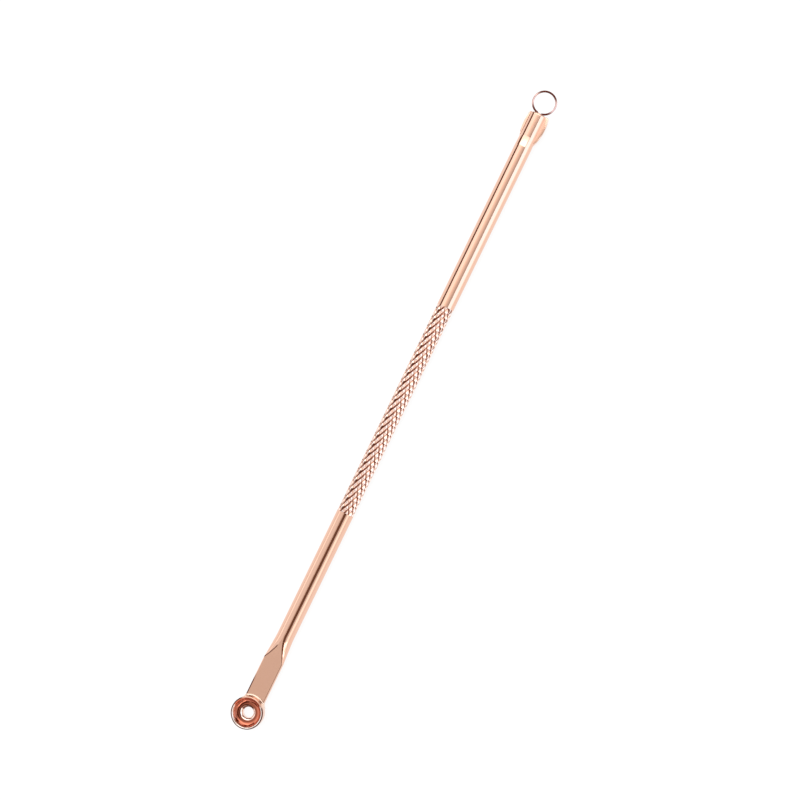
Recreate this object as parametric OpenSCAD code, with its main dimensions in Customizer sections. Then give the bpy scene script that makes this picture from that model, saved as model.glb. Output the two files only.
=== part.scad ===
// Blackhead extractor: a round steel rod with a knurled grip, a pierced cup brazed to the pressed
// blade at one end, and a fine wire loop crimped and brazed into the other.
// The tool lies along X with the cup at the low end, opening upwards, and the shaft on Z = 0.

/* [Shaft] */
// Diameter of the round rod
rod_d = 3; // [2:0.1:5]
// Plain length between the blade's run-out and the grip
front_l = 23.3; // [5:0.1:60]
// Plain length between the grip and the crimp
rear_l = 30.7; // [5:0.1:60]

/* [Grip] */
// Length of the knurled grip
grip_l = 38.8; // [10:0.1:80]
// Length of one diamond along the rod
diamond_l = 1.7; // [1:0.05:4]
// Diamonds in one ring round the rod
diamonds_round = 10; // [6:1:20]
// Depth of the grooves between the diamonds
groove_depth = 0.24; // [0.05:0.01:0.4]
// Share of a diamond that is left as a flat crest
crest_share = 0.34; // [0.1:0.02:0.8]
// How far the crests stay inside the rod, so that the grip's square ends show
crest_inset = 0.02; // [0.01:0.01:0.1]

/* [Blade] */
// Distance from the cup's axis to the blade's shoulder
blade_l = 9.8; // [5:0.1:25]
// Width over the blade's rounded edges
blade_w = 3.6; // [2.4:0.05:5]
// Thickness between the pressed faces
blade_t = 1.2; // [0.6:0.05:2]
// How far each rounded edge bulges past the flat
blade_edge = 0.17; // [0.05:0.01:0.5]
// Length over which the flat runs out into the round rod
runout_l = 4.5; // [2:0.1:10]
// Half width of the sliver of flat that is left at the run-out's end
flat_end = 0.01; // [0.01:0.01:0.1]

/* [Cup] */
// Outer diameter of the cup
cup_d = 5.6; // [4.5:0.1:9]
// Height of the cup
cup_h = 2.2; // [1.9:0.05:4]
// How far the rim stands above the blade's face
cup_proud = 1.05; // [0.3:0.05:1.5]
// Thickness of the rounded lip
lip_t = 0.38; // [0.2:0.02:0.8]
// Depth of the bowl from the lip to its floor
bowl_depth = 0.8; // [0.4:0.05:1.2]
// Diameter of the hole through the floor
hole_d = 1.8; // [0.8:0.05:2.4]
// Radius of the rounded edge from the floor into the hole
hole_round = 0.6; // [0.2:0.05:0.8]
// Radius of the hole's lower edge
hole_exit = 0.35; // [0.1:0.05:0.5]
// Radius of the cup's lower outer edge
cup_round = 0.6; // [0.2:0.05:1]

/* [Cup braze] */
// Thickness of the braze film between the cup and the blade's saddle
film_t = 0.05; // [0.02:0.01:0.1]
// Radius of the braze fillet round the cup's root
fillet_r = 0.45; // [0.2:0.05:0.8]
// Depth of the bevel on the saddle's edges, which the braze fills up to the fillet's toe
bevel_h = 0.3; // [0.1:0.05:0.5]

/* [Crimp] */
// Length of the crimped end
crimp_l = 5.75; // [4:0.05:10]
// Diameter of the rod inside the crimp
crimp_d = 2.9; // [1.8:0.05:4.8]
// Length of the slope down to the crimp
slope_l = 1.5; // [0.5:0.1:3]
// Width over the two pressed wings
wing_w = 3.94; // [2.6:0.02:6]
// Radius of each wing's outline
wing_r = 8.2; // [4:0.1:20]
// Thickness of the wings
wing_t = 1.1; // [0.5:0.05:1.8]
// Distance from the rod's end to the wings' widest point
wing_mid = 2.05; // [1:0.05:4]
// How far the crimp sits off the rod's axis
crimp_shift = 0.15; // [0:0.01:0.4]
// Radius of the edges at the rod's end
end_round = 0.25; // [0.05:0.05:0.6]

/* [Wire loop] */
// Outer diameter of the loop
loop_d = 4.3; // [2.5:0.1:8]
// Diameter of the wire
wire_d = 0.34; // [0.2:0.02:0.6]
// Radius of the bend between each leg and the loop
bend_r = 0.5; // [0.3:0.05:1]
// Length of the legs inside the socket
leg_l = 4; // [2:0.1:8]
// Turn of the loop about the rod's axis, in degrees
loop_turn = 6; // [-20:1:20]
// Clearance round the legs
leg_clearance = 0.03; // [0.01:0.01:0.08]
// Radius of the braze bead at the socket's mouth
bead_r = 0.56; // [0.42:0.02:0.9]
// Height of the bead above the rod's end
bead_h = 0.3; // [0.1:0.02:0.5]
// Depth of the socket's flared mouth
mouth_l = 0.5; // [0.2:0.05:1]

/* [Hidden] */

rod_r = rod_d / 2;
cup_r = cup_d / 2;
hole_r = hole_d / 2;
wire_r = wire_d / 2;

// Stations along the tool, counted from the cup's axis
shaft_x = blade_l + runout_l;
grip_x = shaft_x + front_l;
rear_x = grip_x + grip_l;
crimp_x = rear_x + rear_l;
end_x = crimp_x + crimp_l;

// The loop's mean circle, and where the two bends meet it
ring_r = loop_d / 2 - wire_r;
leg_y = wire_r + leg_clearance / 2;
bend_x = end_x - wire_r;
bend_y = leg_y + bend_r;
ring_x = bend_x + sqrt(pow(ring_r + bend_r, 2) - pow(bend_y, 2));
neck_angle = atan2(bend_y, ring_x - bend_x);
loop_end_x = ring_x + loop_d / 2;

// Heights, counted from the rod's axis
face_z = blade_t / 2;
rim_z = face_z + cup_proud;
cup_z = rim_z - cup_h;

// The whole tool is centred on X and stands on its lowest point
centre_x = (loop_end_x - cup_r) / 2;
base_z = max(rod_r, -cup_z);

// Radius of the bowl's rounded wall, which is tangent to the lip and to the floor
lip_r = lip_t / 2;
bowl_run = cup_r - lip_r - hole_r - hole_round;
bowl_r = (bowl_depth * bowl_depth + bowl_run * bowl_run) / (2 * bowl_depth) - lip_r;

crest_r = rod_r - crest_inset;
root_r = crest_r - groove_depth;
rows = max(2, round(2 * grip_l / diamond_l));
row_l = grip_l / rows;
half_step = 180 / diamonds_round;

// Powers that shape the run-out: the flat closes faster than the edges draw in
flat_power = 1.6;
edge_power = 1.2;
runout_rings = 16;
arc_steps = 8;

// Flats round the slope at the crimp's start
slope_sides = 32;
slope_proud = 0.002;
slope_inset = 0.03;

// Fineness of the swept wire
bend_steps = 6;
ring_steps = 60;
wire_sides = 12;

// A little more than enough for a cut to pass through
past = 1;
steel = "#d9a38b";
cup_colour = "#c9694a";
braze_colour = "#f0cdb4";

module placed() {
    translate([-centre_x, 0, base_z]) children();
}

// Turns a shape that was made along Z so that it runs along X from the given station
module along_x(x) {
    translate([x, 0, 0]) rotate([0, 90, 0]) children();
}

module plain_rod(x, l) {
    along_x(x) cylinder(h = l, r = rod_r, $fn = 96);
}

// One point on the grip: a distance along it, a radius and an angle round it
function on_grip(x, r, a) = [min(max(x, 0), grip_l), r * cos(a), r * sin(a)];

// The grooves cross at these points, in rows half a diamond apart
function crossing_index(n, k) = n * diamonds_round + (k + diamonds_round) % diamonds_round;

// The four corners of a crest come after all the crossings
function crest_index(n, k, corner) =
    (rows + 1) * diamonds_round + 4 * (n * diamonds_round + k) + corner;

crossings = [
    for (n = [0:rows], k = [0:diamonds_round - 1])
        on_grip(n * row_l, root_r, (2 * k + n % 2) * half_step)
];

// Corners of each crest in the order back, right, front, left
crests = [
    for (n = [0:rows], k = [0:diamonds_round - 1], corner = [0:3])
        let (middle = (2 * k + 1 + n % 2) * half_step,
             along = [-1, 0, 1, 0][corner] * crest_share * row_l,
             round_it = [0, 1, 0, -1][corner] * crest_share * half_step)
            on_grip(n * row_l + along, crest_r, middle + round_it)
];

function back_slopes(left, right, before, c) = [
    [left, c[0], before], [left, c[3], c[0]],
    [before, c[1], right], [before, c[0], c[1]]
];

function front_slopes(left, right, after, c) = [
    [right, c[2], after], [right, c[1], c[2]],
    [after, c[3], left], [after, c[2], c[3]]
];

function diamond_faces(n, k) =
    let (left = crossing_index(n, k),
         right = crossing_index(n, k + 1),
         before = crossing_index(n - 1, k + n % 2),
         after = crossing_index(n + 1, k + n % 2),
         c = [for (corner = [0:3]) crest_index(n, k, corner)])
        concat(
            [[c[3], c[2], c[0]], [c[0], c[2], c[1]]],
            n > 0 ? back_slopes(left, right, before, c) : [],
            n < rows ? front_slopes(left, right, after, c) : []
        );

// The end face is a star of crests and roots, filled from its centre
function end_ring(n, top) = [
    for (k = [0:diamonds_round - 1])
        each [crossing_index(n, k), crest_index(n, k, 3), crest_index(n, k, top), crest_index(n, k, 1)]
];

function fan(centre, ring, flip) = [
    for (i = [0:len(ring) - 1])
        let (a = ring[i], b = ring[(i + 1) % len(ring)])
            flip ? [centre, b, a] : [centre, a, b]
];

module knurled_grip() {
    first = len(crossings) + len(crests);
    ends = [[0, 0, 0], [grip_l, 0, 0]];
    skin = [for (n = [0:rows], k = [0:diamonds_round - 1]) each diamond_faces(n, k)];
    faces = concat(
        skin,
        fan(first, end_ring(0, 0), false),
        fan(first + 1, end_ring(rows, 2), true)
    );
    translate([grip_x, 0, 0])
        polyhedron(points = concat(crossings, crests, ends), faces = faces, convexity = 8);
}

// Outline of the blade and its run-out: two flats joined by elliptical edges.
// flat is the flat's half width, wide the half width overall and high the half thickness
function section(flat, wide, high) = [
    for (side = [0, 1], i = [0:2 * arc_steps])
        let (a = 90 - 90 * i / arc_steps,
             sign = 1 - 2 * side)
            [sign * (flat + (wide - flat) * cos(a)), sign * high * sin(a)]
];

module blade_stock() {
    rotate([90, 0, 90]) linear_extrude(blade_l)
        polygon(section(blade_w / 2 - blade_edge, blade_w / 2, face_z));
}

// Room for the cup and the braze film, with bevelled edges as wide as the braze fillet
module saddle() {
    saddle_r = cup_r + film_t;
    widen = (fillet_r - film_t) * (bevel_h + past) / bevel_h;
    translate([0, 0, -past - face_z])
        cylinder(h = blade_t + 2 * past, r = saddle_r, $fn = 144);
    translate([0, 0, face_z - bevel_h])
        cylinder(h = bevel_h + past, r1 = saddle_r, r2 = saddle_r + widen, $fn = 144);
    translate([0, 0, -face_z - past])
        cylinder(h = bevel_h + past, r1 = saddle_r + widen, r2 = saddle_r, $fn = 144);
}

module blade() {
    difference() {
        blade_stock();
        saddle();
    }
}

// The run-out is a loft from the blade's outline to the round rod
function runout_section(u) =
    let (left = 1 - u,
         flat = max(flat_end, (blade_w / 2 - blade_edge) * pow(left, flat_power)),
         wide = rod_r + (blade_w / 2 - rod_r) * pow(left, edge_power),
         high = face_z + (rod_r - face_z) * u * u * (3 - 2 * u))
        section(flat, wide, high);

module runout() {
    count = len(section(1, 2, 1));
    points = [
        for (i = [0:runout_rings])
            let (u = i / runout_rings)
                for (p = runout_section(u)) [u * runout_l, p[0], p[1]]
    ];
    skin = [
        for (i = [0:runout_rings - 1], j = [0:count - 1])
            let (a = i * count + j, b = i * count + (j + 1) % count)
                each [[a, b + count, a + count], [a, b, b + count]]
    ];
    low = [for (j = [0:count - 1]) j];
    high = [for (j = [0:count - 1]) runout_rings * count + j];
    first = len(points);
    translate([blade_l, 0, 0])
        polyhedron(
            points = concat(points, [[0, 0, 0], [runout_l, 0, 0]]),
            faces = concat(skin, fan(first, low, true), fan(first + 1, high, false)),
            convexity = 4
        );
}

// The rolled slope from the shaft down to the crimp, in narrow flats as the roller leaves it.
// Its edges stand out of the shaft by a hair and its end lies inside the crimp's core
module slope() {
    ring = [for (j = [0:slope_sides - 1]) 360 * (j + 0.5) / slope_sides];
    start_r = rod_r + slope_proud;
    inner_r = crimp_d / 2 - slope_inset;
    points = concat(
        [for (a = ring) [0, start_r * sin(a), start_r * cos(a)]],
        [for (a = ring) [slope_l, inner_r * sin(a) - crimp_shift / 2, inner_r * cos(a)]],
        [[0, 0, 0], [slope_l, -crimp_shift / 2, 0]]
    );
    skin = [
        for (j = [0:slope_sides - 1])
            let (b = (j + 1) % slope_sides)
                each [[j, b + slope_sides, j + slope_sides], [j, b, b + slope_sides]]
    ];
    low = [for (j = [0:slope_sides - 1]) j];
    high = [for (j = [0:slope_sides - 1]) slope_sides + j];
    first = 2 * slope_sides;
    translate([crimp_x, 0, 0])
        polyhedron(
            points = points,
            faces = concat(skin, fan(first, low, true), fan(first + 1, high, false)),
            convexity = 2
        );
}

// Round core of the crimped end, with a slope at its start and a rounded end
module crimp_core() {
    straight = crimp_l - slope_l;
    core_r = crimp_d / 2;
    slope();
    translate([0, -crimp_shift / 2, 0]) along_x(crimp_x + slope_l) rotate_extrude($fn = 96) {
        square([core_r - end_round, straight]);
        square([core_r, straight - end_round]);
        translate([core_r - end_round, straight - end_round]) circle(end_round, $fn = 48);
    }
}

// Plan of the space that the crimping tool leaves for the wings
module wing_plan() {
    corner = 2 * end_round;
    start_x = crimp_x + slope_l / 2;
    translate([start_x, -wing_w]) square([end_x - corner - start_x, 2 * wing_w]);
    translate([start_x, -wing_w / 2 + corner]) square([end_x - start_x, wing_w - 2 * corner]);
    for (side = [-1, 1])
        translate([end_x - corner, side * (wing_w / 2 - corner)]) circle(corner, $fn = 48);
}

// A wing is a slice of a flat ring, so that its rounded edge follows the curved outline
module wing(side) {
    edge = wing_t / 4;
    inner = wing_r - wing_w / 2;
    translate([end_x - wing_mid, side * (wing_w / 2 - wing_r), 0])
        rotate_extrude($fn = 180) {
            translate([inner, -wing_t / 2]) square([wing_w / 2 - edge, wing_t]);
            translate([inner, -wing_t / 2 + edge]) square([wing_w / 2, wing_t - 2 * edge]);
            for (level = [-1, 1])
                translate([wing_r - edge, level * (wing_t / 2 - edge)]) circle(edge, $fn = 48);
        }
}

module wings() {
    translate([0, -crimp_shift, 0]) for (side = [-1, 1])
        intersection() {
            wing(side);
            translate([0, 0, -wing_t]) linear_extrude(2 * wing_t) wing_plan();
            translate([crimp_x, side > 0 ? 0 : -wing_w, -wing_t])
                cube([crimp_l + past, wing_w, 2 * wing_t]);
        }
}

// The crimp closes the rod's end hole round the two legs of the loop
module socket() {
    bore_r = wire_r + leg_clearance;
    rotate([loop_turn, 0, 0]) {
        for (side = [-1, 1])
            translate([0, side * leg_y, 0]) along_x(end_x - leg_l - leg_clearance)
                cylinder(h = leg_l + past, r = bore_r, $fn = 48);
    }
    widen = (bead_r - bore_r) * (mouth_l + past) / mouth_l;
    along_x(end_x - mouth_l) cylinder(h = mouth_l + past, r1 = bore_r, r2 = bore_r + widen, $fn = 48);
}

module handle_rod() {
    color(steel) placed() difference() {
        union() {
            blade();
            runout();
            plain_rod(shaft_x, front_l);
            knurled_grip();
            plain_rod(rear_x, rear_l);
            crimp_core();
            wings();
        }
        socket();
    }
}

// Half outline of the cup: rounded lip, upright wall and rounded foot, round a bowl with a
// rounded wall whose floor turns down into the hole
module cup_outline() {
    body_r = cup_r - cup_round;
    floor_z = cup_h - bowl_depth;
    difference() {
        union() {
            square([body_r, cup_h - lip_r]);
            translate([0, cup_round]) square([cup_r, cup_h - lip_r - cup_round]);
            translate([body_r, cup_round]) circle(cup_round, $fn = 96);
            translate([cup_r - lip_r, cup_h - lip_r]) circle(lip_r, $fn = 96);
        }
        // the bowl, down to its floor
        translate([hole_r + hole_round, floor_z + bowl_r]) intersection() {
            circle(bowl_r, $fn = 96);
            translate([0, -bowl_r]) square([bowl_run, bowl_r + lip_r - bowl_depth + lip_r]);
        }
        translate([-past, floor_z]) square([hole_r + hole_round + past, cup_h]);
        // the hole with its rounded upper and lower edges
        translate([-past, -past]) square([hole_r + past, cup_h]);
        difference() {
            translate([0, floor_z - hole_round]) square([hole_r + hole_round, hole_round + past]);
            translate([hole_r + hole_round, floor_z - hole_round]) circle(hole_round, $fn = 96);
        }
        difference() {
            translate([0, -past]) square([hole_r + hole_exit, hole_exit + past]);
            translate([hole_r + hole_exit, hole_exit]) circle(hole_exit, $fn = 96);
        }
    }
}

module cup_solid() {
    translate([0, 0, cup_z]) rotate_extrude($fn = 144) cup_outline();
}

module extractor_cup() {
    color(cup_colour) placed() cup_solid();
}

// Plan of the braze: the blade's width, and a fillet on each side tangent to blade and cup
module braze_plan() {
    half = blade_w / 2;
    fillet_y = half + fillet_r;
    fillet_x = sqrt(pow(cup_r + fillet_r, 2) - pow(fillet_y, 2));
    difference() {
        translate([0, -fillet_y]) square([fillet_x, 2 * fillet_y]);
        for (side = [-1, 1])
            translate([fillet_x, side * fillet_y]) circle(fillet_r, $fn = 48);
        polygon([[0, 0], [fillet_x, fillet_y], [fillet_x, fillet_y + past], [0, fillet_y + past]]);
        polygon([[0, 0], [fillet_x, -fillet_y], [fillet_x, -fillet_y - past], [0, -fillet_y - past]]);
        circle(cup_r - cup_round, $fn = 96);
    }
}

module cup_braze() {
    color(braze_colour) placed() difference() {
        union() {
            // the film in the saddle and its bevels
            intersection() {
                blade_stock();
                saddle();
            }
            translate([0, 0, -face_z]) linear_extrude(blade_t) braze_plan();
            // the fillet that runs round the cup's wall on the blade's face
            intersection() {
                rotate_extrude($fn = 144) difference() {
                    translate([cup_r - lip_r, face_z]) square([fillet_r + lip_r, fillet_r]);
                    translate([cup_r + fillet_r, face_z + fillet_r]) circle(fillet_r, $fn = 48);
                }
                translate([0, -blade_w / 2, 0]) cube([cup_d, blade_w, rim_z]);
            }
        }
        blade();
        cup_solid();
        translate([0, 0, -past - face_z])
            cylinder(h = blade_t + 2 * past, r = cup_r - cup_round, $fn = 96);
    }
}

// Points of an arc in the loop's plane, without its first point
function arc(centre, radius, from, through, steps) = [
    for (i = [1:steps])
        let (a = from + through * i / steps)
            centre + radius * [cos(a), sin(a)]
];

// The wire's centre line: a leg, its bend, the ring, the other bend and the other leg
wire_path = concat(
    [[end_x - leg_l, leg_y], [bend_x, leg_y]],
    arc([bend_x, bend_y], bend_r, -90, 90 - neck_angle, bend_steps),
    arc([ring_x, 0], ring_r, 180 - neck_angle, 2 * neck_angle - 360, ring_steps),
    arc([bend_x, -bend_y], bend_r, neck_angle, 90 - neck_angle, bend_steps),
    [[end_x - leg_l, -leg_y]]
);

// Direction square to the wire at one of its points
function across(i) =
    let (last = len(wire_path) - 1,
         d = wire_path[min(i + 1, last)] - wire_path[max(i - 1, 0)])
        [-d[1], d[0]] / norm(d);

// The wire's round section, swept along the centre line
module wire_solid() {
    last = len(wire_path) - 1;
    skin_points = [
        for (i = [0:last], j = [0:wire_sides - 1])
            let (a = 360 * j / wire_sides,
                 p = wire_path[i] + wire_r * cos(a) * across(i))
                [p[0], p[1], wire_r * sin(a)]
    ];
    skin = [
        for (i = [0:last - 1], j = [0:wire_sides - 1])
            let (a = i * wire_sides + j, b = i * wire_sides + (j + 1) % wire_sides)
                each [[a, a + wire_sides, b + wire_sides], [a, b + wire_sides, b]]
    ];
    low = [for (j = [0:wire_sides - 1]) j];
    high = [for (j = [0:wire_sides - 1]) last * wire_sides + j];
    first = len(skin_points);
    ends = [[end_x - leg_l, leg_y, 0], [end_x - leg_l, -leg_y, 0]];
    rotate([loop_turn, 0, 0])
        polyhedron(
            points = concat(skin_points, ends),
            faces = concat(skin, fan(first, low, false), fan(first + 1, high, true)),
            convexity = 4
        );
}

module wire_loop() {
    color(braze_colour) placed() wire_solid();
}

// The bead fills the flared mouth and stands up round the wire as a low dome
module loop_braze() {
    dome_r = (bead_r * bead_r + bead_h * bead_h) / (2 * bead_h);
    color(braze_colour) placed() difference() {
        along_x(end_x) rotate_extrude($fn = 64) {
            polygon([[0, -mouth_l], [wire_r + leg_clearance, -mouth_l], [bead_r, 0], [0, 0]]);
            intersection() {
                translate([0, bead_h - dome_r]) circle(dome_r, $fn = 96);
                square([bead_r, bead_h]);
            }
        }
        wire_solid();
    }
}

handle_rod();
extractor_cup();
cup_braze();
wire_loop();
loop_braze();
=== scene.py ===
import math

import bpy
import numpy as np
from bpy.props import FloatProperty, FloatVectorProperty, IntProperty, PointerProperty
from mathutils import Matrix, Vector


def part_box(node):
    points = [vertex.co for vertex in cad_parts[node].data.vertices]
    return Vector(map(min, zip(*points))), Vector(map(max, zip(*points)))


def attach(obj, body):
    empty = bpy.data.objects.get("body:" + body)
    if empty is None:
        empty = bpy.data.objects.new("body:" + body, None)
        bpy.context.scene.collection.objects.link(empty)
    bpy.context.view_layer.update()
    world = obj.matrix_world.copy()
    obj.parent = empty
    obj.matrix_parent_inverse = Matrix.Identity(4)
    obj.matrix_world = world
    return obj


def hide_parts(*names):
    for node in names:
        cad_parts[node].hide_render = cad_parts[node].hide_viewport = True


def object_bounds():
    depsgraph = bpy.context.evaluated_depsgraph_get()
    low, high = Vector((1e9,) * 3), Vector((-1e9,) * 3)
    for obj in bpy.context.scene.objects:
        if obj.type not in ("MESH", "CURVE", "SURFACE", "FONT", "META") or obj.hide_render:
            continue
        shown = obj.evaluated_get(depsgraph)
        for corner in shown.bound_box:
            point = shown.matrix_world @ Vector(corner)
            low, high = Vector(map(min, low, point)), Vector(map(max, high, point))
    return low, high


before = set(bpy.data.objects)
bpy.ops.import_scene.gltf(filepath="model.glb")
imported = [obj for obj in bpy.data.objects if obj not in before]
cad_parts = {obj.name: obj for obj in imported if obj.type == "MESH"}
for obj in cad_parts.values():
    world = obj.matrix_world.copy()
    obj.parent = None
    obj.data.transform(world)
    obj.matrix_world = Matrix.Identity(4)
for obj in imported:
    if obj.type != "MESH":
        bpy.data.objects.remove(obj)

bl_info = {
    "name": "Blackhead extractor",
    "version": (1, 0, 0),
    "blender": (4, 5, 0),
    "location": "View3D > Sidebar > Extractor",
    "description": "Makes a rose-gold plated blackhead extractor: rod, cup, braze and wire loop",
    "category": "Object",
}

# The tool lies along x from the cup to the loop, with its axis at AXIS_Z above the table
MM = 0.001
ROD_R = 1.5
CAD_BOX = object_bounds()
CUP_LOW, CUP_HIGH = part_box("extractor_cup")
CUP_X = (CUP_LOW.x + CUP_HIGH.x) / 2
AXIS_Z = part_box("handle_rod")[0].z + ROD_R * MM


def linear(code):
    """An sRGB hex value as the linear colour that the shaders take."""
    c = np.array([int(code[i : i + 2], 16) for i in (1, 3, 5)]) / 255
    return tuple(np.where(c <= 0.04045, c / 12.92, ((c + 0.055) / 1.055) ** 2.4))


def length(name, value, note):
    """A size property, given in millimetres and kept in metres."""
    return FloatProperty(
        name=name, description=note, default=value * MM, min=0, unit="LENGTH", precision=5
    )


def colour(name, code, note):
    """A colour property with the default given as an sRGB hex value."""
    return FloatVectorProperty(
        name=name, description=note, default=linear(code), min=0, max=1, size=3, subtype="COLOR"
    )


def plain(name, value, note):
    """A property without a unit, such as a share or a power."""
    return FloatProperty(name=name, description=note, default=value, min=0)


class RodSizes(bpy.types.PropertyGroup):
    """Sizes of the handle, counted along the rod from the cup's axis."""

    rod_r: length("Rod radius", ROD_R, "Radius of the round rod")
    blade_l: length("Blade length", 9.8, "From the cup's axis to the blade's shoulder")
    blade_w: length("Blade width", 3.6, "Width over the blade's rounded edges")
    blade_t: length("Blade thickness", 1.2, "Between the pressed faces")
    blade_edge: length("Blade edge", 0.17, "How far each rounded edge bulges past the flat")
    runout_l: length("Run-out length", 4.5, "Over which the flat runs out into the rod")
    front_l: length("Front shaft", 23.3, "Plain length between the run-out and the grip")
    grip_l: length("Grip length", 38.8, "Length of the knurled grip")
    rear_l: length("Rear shaft", 30.2, "Plain length between the grip and the crimp")
    crimp_l: length("Crimp length", 6.25, "Length of the crimped end")
    crimp_r: length("Crimp radius", 1.45, "Radius of the rod inside the crimp")
    crimp_drop: length("Crimp drop", 0.16, "How far the crimp's top lies below the rod's")
    slope_l: length("Slope length", 1.95, "Length of the slope down to the crimp")
    wing_w: length("Wing width", 3.94, "Width over the two pressed wings")
    wing_r: length("Wing radius", 8.2, "Radius of each wing's outline")
    wing_t: length("Wing thickness", 0.8, "Thickness of the wings")
    wing_mid: length("Wing middle", 2.05, "From the rod's end to the wings' widest point")
    crimp_shift: length("Crimp shift", 0.15, "How far the wings sit off the rod's axis")
    end_round: length("End rounding", 0.25, "Radius of the edges at the rod's end")


class KnurlSizes(bpy.types.PropertyGroup):
    """Sizes of the knurl. One family of grooves is deeper, because its wheel pressed harder."""

    diamonds: IntProperty(name="Diamonds round", description="Grooves of one family", default=10)
    rows: IntProperty(name="Diamonds along", description="Diamonds along the grip", default=23)
    cells: IntProperty(name="Cells", description="Mesh cells in one diamond", default=16)
    inset: length("Crest inset", 0.01, "How far the crests stay inside the rod")
    deep: length("Deep grooves", 0.25, "Depth of the deeper family")
    shallow: length("Shallow grooves", 0.18, "Depth of the other family")
    deep_power: plain("Deep power", 1.4, "How narrow the deeper grooves are")
    shallow_power: plain("Shallow power", 2.2, "How narrow the other grooves are")


class CupSizes(bpy.types.PropertyGroup):
    """Sizes of the cup and the braze at its root."""

    cup_r: length("Cup radius", 2.8, "Outer radius of the cup")
    cup_h: length("Cup height", 2.2, "Height of the cup")
    proud: length("Rim height", 1.05, "How far the rim stands above the blade's face")
    lip_t: length("Lip", 0.38, "Thickness of the rounded lip")
    bowl_depth: length("Bowl depth", 0.8, "From the lip to the bowl's floor")
    hole_r: length("Hole radius", 0.9, "Radius of the hole through the floor")
    hole_round: length("Hole rounding", 0.6, "Radius of the edge from the floor into the hole")
    hole_exit: length("Hole exit", 0.35, "Radius of the hole's lower edge")
    foot_r: length("Foot", 0.6, "Radius of the cup's lower outer edge")
    film_t: length("Braze film", 0.05, "Braze between the cup and the blade's saddle")
    fillet_r: length("Braze fillet", 0.45, "Radius of the braze fillet round the cup's root")


class LoopSizes(bpy.types.PropertyGroup):
    """Sizes of the wire loop and the bead of braze at its foot."""

    loop_r: length("Loop radius", 2.15, "Outer radius of the loop")
    wire_r: length("Wire radius", 0.17, "Radius of the wire")
    bend_r: length("Bend radius", 0.5, "Radius of the bend between each leg and the loop")
    leg_gap: length("Leg gap", 0.03, "Clearance between the two legs")
    leg_l: length("Leg length", 1.0, "Length of the legs that is drawn inside the rod")
    bead_r: length("Bead radius", 0.56, "Radius of the braze bead")
    bead_h: length("Bead height", 0.3, "Height of the bead above the rod's end")
    turn: FloatProperty(
        name="Turn",
        description="Turn of the loop about the rod's axis",
        default=math.radians(6),
        subtype="ANGLE",
    )


class Finish(bpy.types.PropertyGroup):
    """Colours of the plating, the braze and the table, and of the light and shade painted on them.
    """

    plating: colour("Plating", "#F0C5AF", "Rose-gold plating")
    plating_deep: colour("Thin plating", "#EBBCA4", "Where the plating is thinner")
    # painted highlight: a pale colour on the knurl's crests
    crest: colour("Crest", "#FFF1EC", "Burnished crests of the knurl")
    # painted shade in the knurl's grooves
    groove: colour("Groove", "#713527", "Plating in the knurl's grooves")
    # painted shade: the deeper colour of the bowl, also on the lip's shaded side
    bowl: colour("Bowl", "#D67D62", "Deeper plating inside the bowl")
    # painted highlight on the lip and on the edge into the hole
    lip: colour("Lip", "#FFF4EC", "Burnished lip of the cup")
    # painted shade and dark reflection below the lip, in the bowl, round the hole and along the
    # blade's edges
    edge: colour("Edge", "#5E2C1E", "Tarnished plating below the lip and on the blade's edges")
    braze: colour("Braze", "#F6DCC8", "Plated silver braze")
    wire: colour("Wire", "#BBA6B2", "Plating on the wire")
    # painted shade where the wire runs across the tool
    wire_dark: colour("Dark wire", "#643229", "Tarnish on the wire")
    floor: colour("Floor", "#FFFFFF", "White table")


class Values:
    """The sizes of a property group as plain values, with its lengths in millimetres."""

    def __init__(self, group):
        for name in group.__annotations__:
            value = getattr(group, name)
            scaled = isinstance(value, float) and group.bl_rna.properties[name].unit == "LENGTH"
            setattr(self, name, value / MM if scaled else value)


def add_node(tree, kind, inputs=None, **settings):
    """Adds a shader node with its settings, its values and its links."""
    node = tree.nodes.new("ShaderNode" + kind)
    for name, value in settings.items():
        setattr(node, name, value)
    for name, value in (inputs or {}).items():
        if isinstance(value, bpy.types.NodeSocket):
            tree.links.new(value, node.inputs[name])
        else:
            node.inputs[name].default_value = value
    return node


def rgba(value):
    """A colour with full alpha, as a colour socket takes it."""
    return (*value, 1.0)


def new_material(name):
    """An empty material and its node tree."""
    material = bpy.data.materials.new(name)
    material.use_nodes = True
    material.node_tree.nodes.clear()
    return material, material.node_tree


def mesh_piece(name, points, faces, material, sharp=35, stage=False, **layers):
    """A piece from an array of points and arrays of faces; layers are values kept per point.

    Edges that fold by more than sharp, in degrees, stay crisp.
    """
    mesh = bpy.data.meshes.new(name)
    mesh.from_pydata(points.reshape(-1, 3).tolist(), [], [f for a in faces for f in a.tolist()])
    mesh.validate()
    for layer, values in layers.items():
        mesh.attributes.new(layer, "FLOAT", "POINT").data.foreach_set("value", values.ravel())
    mesh.shade_smooth()
    mesh.set_sharp_from_angle(angle=math.radians(sharp))
    mesh.materials.append(material)
    piece = bpy.data.objects.new(name, mesh)
    bpy.context.scene.collection.objects.link(piece)
    return piece


def stands_for(piece, node):
    """The piece rides on the tool's one body and is seen in place of a CAD node."""
    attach(piece, "root")
    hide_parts(node)


def grid_faces(rows, columns, ring=True, loop=False):
    """Quads between the rows of a grid; ring closes each row, and loop joins the last to the first.

    They face outwards where the rows follow x and the columns turn from +Z to +Y.
    """
    r = np.arange(rows if loop else rows - 1)[:, None]
    c = np.arange(columns if ring else columns - 1)[None, :]
    a, b = r * columns + c, r * columns + (c + 1) % columns
    up = ((r + 1) % rows - r) * columns
    return np.stack([a + up, b + up, b, a], -1).reshape(-1, 4)


def fan_faces(centre, ring, flip=False):
    """Triangles from a centre point to a closed ring."""
    following = np.roll(ring, 1 if flip else -1)
    return np.stack([np.full(len(ring), centre), ring, following], -1)


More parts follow.
